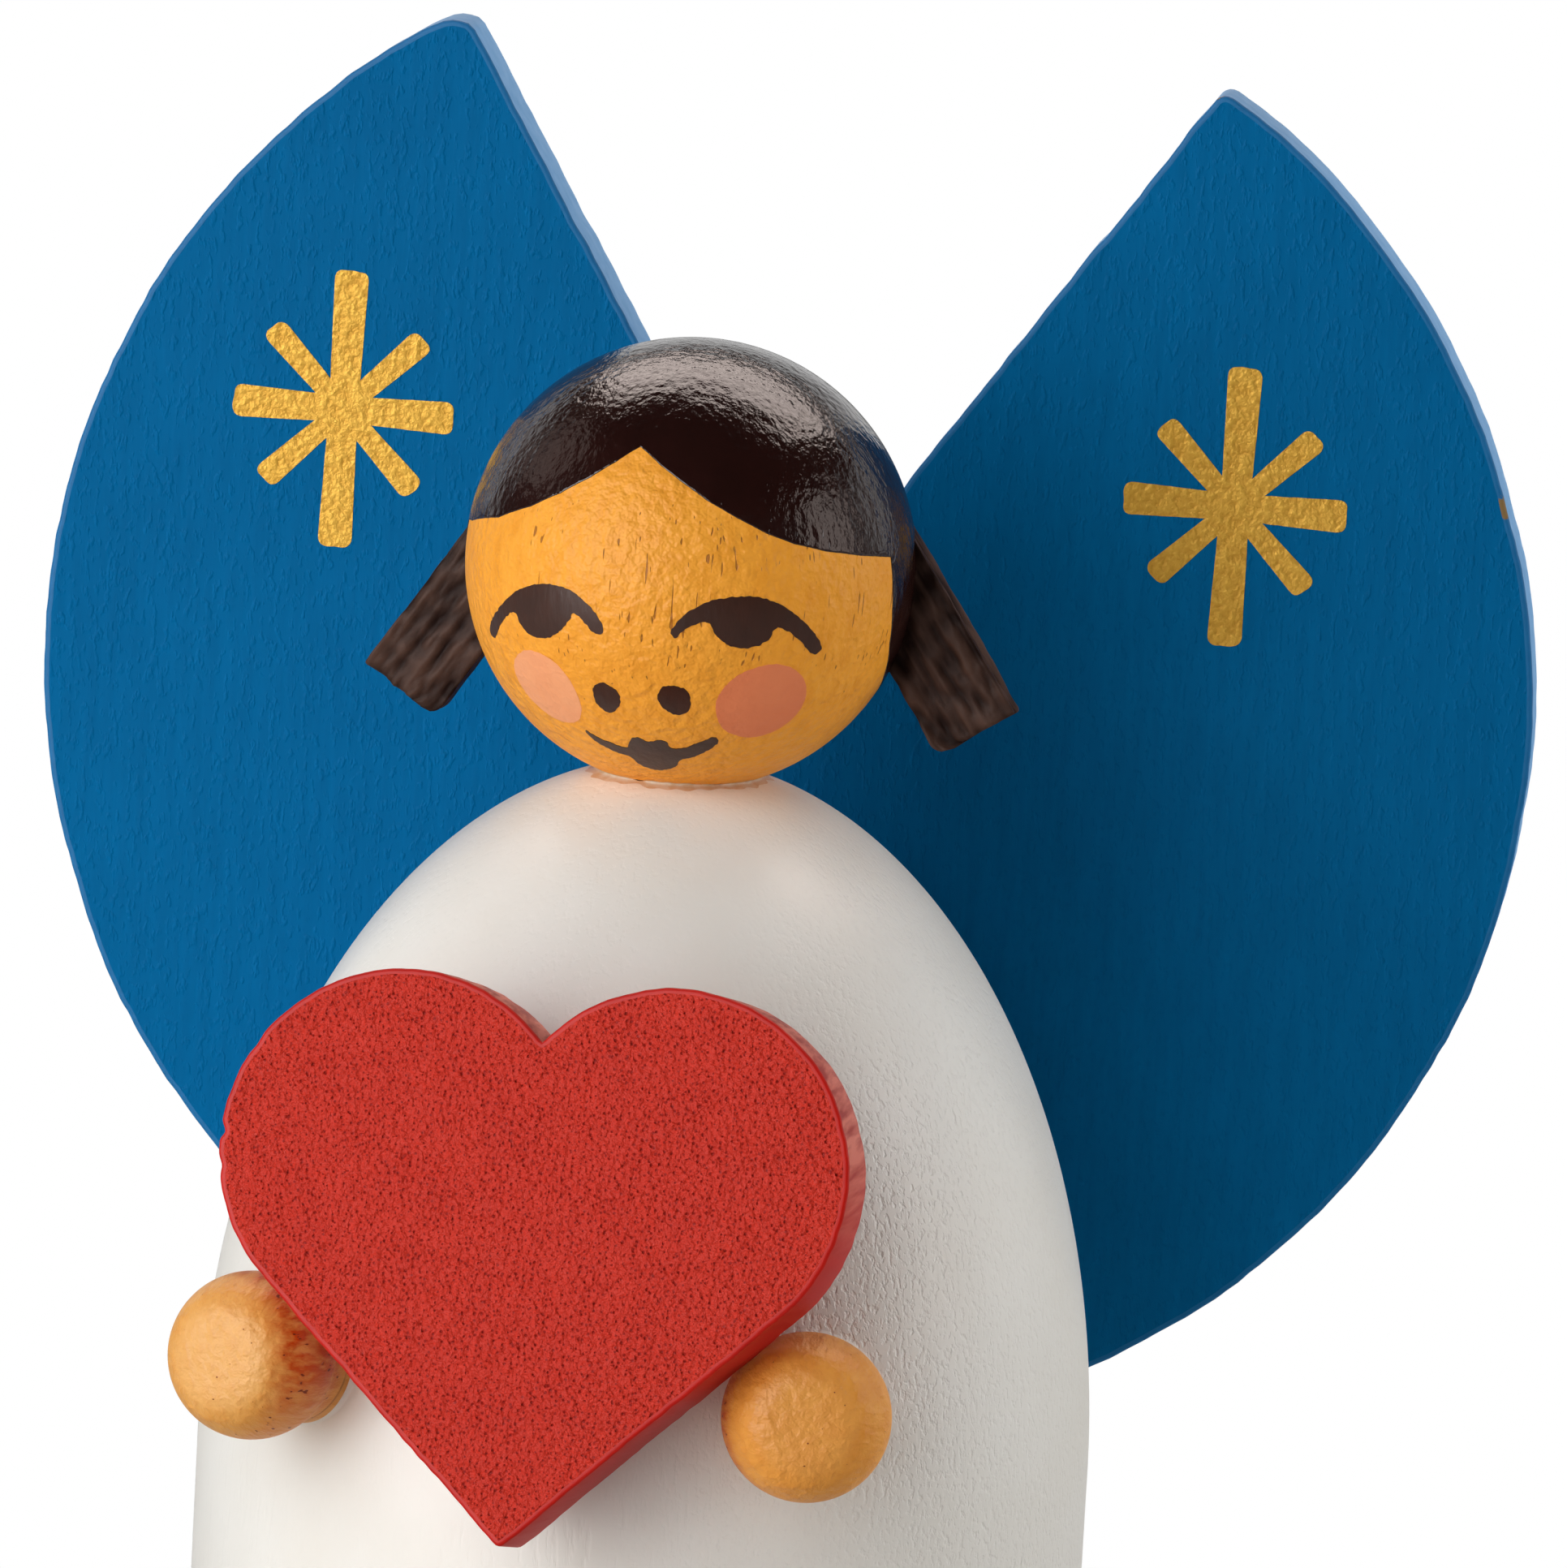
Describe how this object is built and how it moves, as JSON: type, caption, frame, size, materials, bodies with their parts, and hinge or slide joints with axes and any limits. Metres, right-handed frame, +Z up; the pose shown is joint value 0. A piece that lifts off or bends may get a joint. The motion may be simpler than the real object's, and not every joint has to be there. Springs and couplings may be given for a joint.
{
  "type": "rocking angel figurine",
  "caption": "Turned wooden angel with ball head, pigtails, peg hands, heart plate and notched wing disc, hung on a hidden wire axle over a post on a round base so that it rocks sideways.",
  "frame": {"origin": "centre of the round base's flat underside, on the post's axis", "axes": "+Z up, -Y out of the figure's face, +X to the figure's own left"},
  "size_m": [0.0415, 0.0324, 0.0587],
  "materials": {
    "base_wood": "turned beech, clear matte varnish",
    "dowel_wood": "bare ground beech dowel",
    "wire_steel": "drawn bright wire",
    "tube_brass": "drawn tube, cut ends",
    "ring_steel": "turned, lightly oiled",
    "white_paint": "dipped satin white paint",
    "tan_lacquer": "satin tinted lacquer",
    "brown_paint": "dark-brown paint over split grain",
    "red_paint": "matte red paint over open pores",
    "blue_paint": "matte blue paint over fine grain"
  },
  "bodies": {
    "stand": {"base_disc": "base_wood", "post": "dowel_wood"},
    "figure": {"skirt_body": "white_paint", "axle_pin": "wire_steel", "axle_spacers": "tube_brass", "ballast_ring": "ring_steel", "neck_dowel": "dowel_wood", "head": "tan_lacquer", "pigtail_left": "brown_paint", "pigtail_right": "brown_paint", "arm_left": "tan_lacquer", "arm_right": "tan_lacquer", "heart": "red_paint", "heart_dowel": "dowel_wood", "wing_disc": "blue_paint", "wing_dowel": "dowel_wood"}
  },
  "joints": [
    {"name": "rocking_axle", "type": "hinge", "parent": "stand", "child": "figure", "pos_m": [0, 0, 0.0275], "axis": [0, 1, 0], "range_deg": [-10, 10]}
  ]
}
